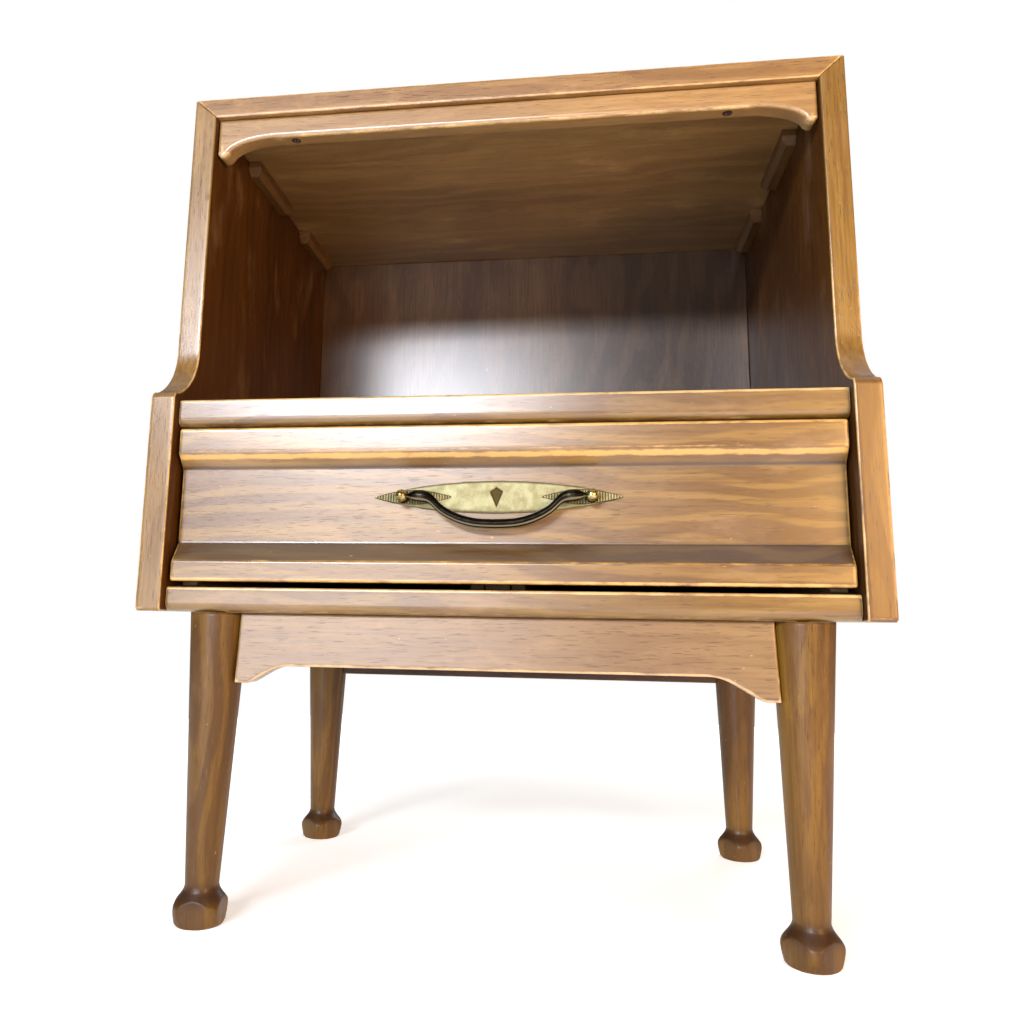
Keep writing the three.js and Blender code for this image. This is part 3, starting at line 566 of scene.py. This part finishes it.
# ---- posts: collar, waist and ball, turned about Y ----
a = np.radians(np.linspace(-88, 50, 18))
ball = BALL_RADIUS * np.stack([np.cos(a), np.sin(a)], 1) + (0, BALL_Y - PLATE_FACE)
post_line = np.concatenate([[(0.02, -13.5)], ball,
                            [(2.6, -4.6), (2.7, -3.4), (3.1, -2.6), (4.2, -1.8), (4.6, -1.1), (4.5, -0.3),
                             (2, -0.2), (2, 21), (0.02, 21)]])
for side, sign in (("left", -1), ("right", 1)):
    grid = turned(post_line, 48, "y") + (sign * POST_X, PLATE_FACE, PULL_Z)
    # Painted shade: the post darkens towards the plate, over its collar and neck.
    depth_ = grid[..., 1] - PLATE_FACE
    shade_mark = np.clip((depth_ + 7.6) / 3, 0, 1)
    piece("post_" + side, [sheet(grid, around=True, caps=True)], "drawer", post_brass,
          ["pull_post_" + side], {"cut": shade_mark.reshape(-1)})

# ---- bail: a round section carried along a drooping line, thick at the shoulders and thin at the pins ----
xs = np.linspace(-66, 66, 221)
far_out = np.abs(xs)
drop = np.interp(far_out, [0, 7, 14, 21, 27, 33, 39, 42, 45, 48, 52, 56, 66],
                 [20.5, 20.35, 19.9, 18.5, 16.6, 13.9, 10.3, 7.6, 4.4, 1.9, 0.7, 0.3, 0.0])
thick = np.interp(far_out, [0, 20, 38, 43, 46, 49, 53, 57, 60, 62.2, 63.4, 64.5, 66],
                  [3.3, 3.3, 3.0, 2.8, 3.2, 4.0, 4.5, 4.3, 3.6, 2.3, 1.7, 1.6, 1.6])
soften = np.exp(-(np.linspace(-2, 2, 13) ** 2))
soften /= soften.sum()
drop = np.convolve(np.pad(drop, 6, "edge"), soften, "valid")
line_z = PULL_Z - drop
slope = np.gradient(line_z, xs)
run = np.hypot(1, slope)
tx, tz = 1 / run, slope / run
phi = np.linspace(0, 2 * np.pi, 40, endpoint=False)
out_, up_ = thick[:, None] * np.sin(phi), thick[:, None] * np.cos(phi)
grid = np.stack([xs[:, None] - tz[:, None] * up_, BALL_Y + out_ * 0.98,
                 line_z[:, None] + tx[:, None] * up_], -1)
# Painted highlights: a thin pale line along the bail's lower front and a softer patch on the front of each
# shoulder.
bail_painted_highlight = np.clip(-np.sin(phi) * 0.8 - np.cos(phi) * 0.6, 0, 1) ** 40 * np.ones_like(up_)
bail_painted_highlight = np.maximum(bail_painted_highlight, 0.3 * np.exp(-((far_out - 54) / 6) ** 2)[:, None] * (np.sin(phi) < -0.3))
piece("bail_bar", [sheet(grid, around=True, caps=True)], "bail", bail_bronze, ["pull_bail"],
      {"bail_painted_highlight": bail_painted_highlight.reshape(-1)})

# ---- the rest of the CAD nodes keep their shape, with eased arrises and their own finish ----
FINISH = {"back_panel": back_veneer, "shelf_panel": shelf_walnut, "bottom_panel": shelf_walnut,
          "glue_block": stained_block, "apron_block": poplar_across, "drawer_guide_rail": poplar_painted_shade,
          "drawer_bearer": poplar_painted_shade, "drawer_kicker": poplar_painted_shade, "drawer_stop": poplar_painted_shade,
          "drawer_side": poplar, "drawer_back": poplar_across, "drawer_bottom": poplar_across,
          "drawer_runner": poplar_painted_shade, "hanger_bolt": dull_steel, "pull_nut": dull_steel}
for name, node_object in NODES.items():
    finish = next((m for key, m in FINISH.items() if name.startswith(key)), None)
    node_object.data.materials.clear()
    node_object.data.materials.append(finish or side_walnut)
    if finish:
        weld = node_object.modifiers.new("weld", "WELD")
        weld.merge_threshold = 1e-5
        ease = node_object.modifiers.new("eased arrises", "BEVEL")
        ease.width, ease.segments, ease.limit_method, ease.angle_limit = 0.0006, 2, "ANGLE", math.radians(40)

# ---- floor and light ----
# Matt white paper on a lit table: it glows a little, and fully at its rim, so that it meets the white room.
floor_material, tree = new_material("matt white paper")
where = add(tree, "ShaderNodeTexCoord").outputs["Object"]
tone = blend(tree, figure(tree, where, (2, 2, 2)), "#fbfaf8", "#ffffff")
away = add(tree, "ShaderNodeVectorMath", {"operation": "LENGTH"}, {}, {0: where}).outputs["Value"]
lit = spread(tree, away, 0.3, 1.1, 0.42, 1.0)
shader = add(tree, "ShaderNodeBsdfPrincipled", {}, {"Roughness": 0.9, "Emission Color": (1, 1, 1, 1)},
             {"Base Color": tone, "Emission Strength": lit})
add(tree, "ShaderNodeOutputMaterial", {}, {}, {"Surface": shader.outputs[0]})
rim = np.linspace(0, 2 * np.pi, 96, endpoint=False)
mesh = bpy.data.meshes.new("floor")
mesh.from_pydata((1.25 * np.stack([np.cos(rim), np.sin(rim), 0 * rim], 1)).tolist(), [], [list(range(96))])
mesh.materials.append(floor_material)
floor = bpy.data.objects.new("floor", mesh)
bpy.context.scene.collection.objects.link(floor)


def softbox(name, place, aim, wide, tall, power, tint="#ffffff"):
    """A rectangular lamp at place that faces aim, in metres and watts."""
    lamp = bpy.data.lights.new(name, "AREA")
    lamp.shape, lamp.size, lamp.size_y, lamp.energy = "RECTANGLE", wide, tall, power
    lamp.color = shade(tint)[:3]
    made = bpy.data.objects.new(name, lamp)
    bpy.context.scene.collection.objects.link(made)
    facing = (Vector(aim) - Vector(place)).to_track_quat("-Z", "Y")
    made.matrix_world = Matrix.Translation(place) @ facing.to_matrix().to_4x4()


softbox("window", (-0.66, -2.2, 1.08), (0, 0, 0.42), 1.0, 0.2, 56, "#f4f7ff")
softbox("low_window", (-0.7, -2.1, 0.12), (0, 0, 0.45), 1.2, 0.4, 14, "#f4f7ff")
softbox("warm_lamp", (0.82, -1.05, 0.46), (0.1, 0, 0.42), 0.5, 0.5, 13, "#ffc884")
softbox("overhead", (0.0, 0.2, 2.6), (0, 0.2, 0.0), 3.0, 3.0, 22)
softbox("rear_window", (1.3, 2.2, 1.3), (0, 0, 0.35), 1.2, 1.0, 22)


world = bpy.data.worlds.new("white room")
bpy.context.scene.world = world
world.use_nodes = True
tree = world.node_tree
tree.nodes.clear()
seen = add(tree, "ShaderNodeLightPath").outputs["Is Camera Ray"]
strength = add(tree, "ShaderNodeMapRange", {}, {1: 0.0, 2: 1.0, 3: 0.12, 4: 1.0}, {0: seen})
glow = add(tree, "ShaderNodeBackground", {}, {"Color": (1, 1, 1, 1)}, {"Strength": strength.outputs[0]})
add(tree, "ShaderNodeOutputWorld", {}, {}, {"Surface": glow.outputs[0]})
bpy.context.scene.view_settings.view_transform = "Standard"
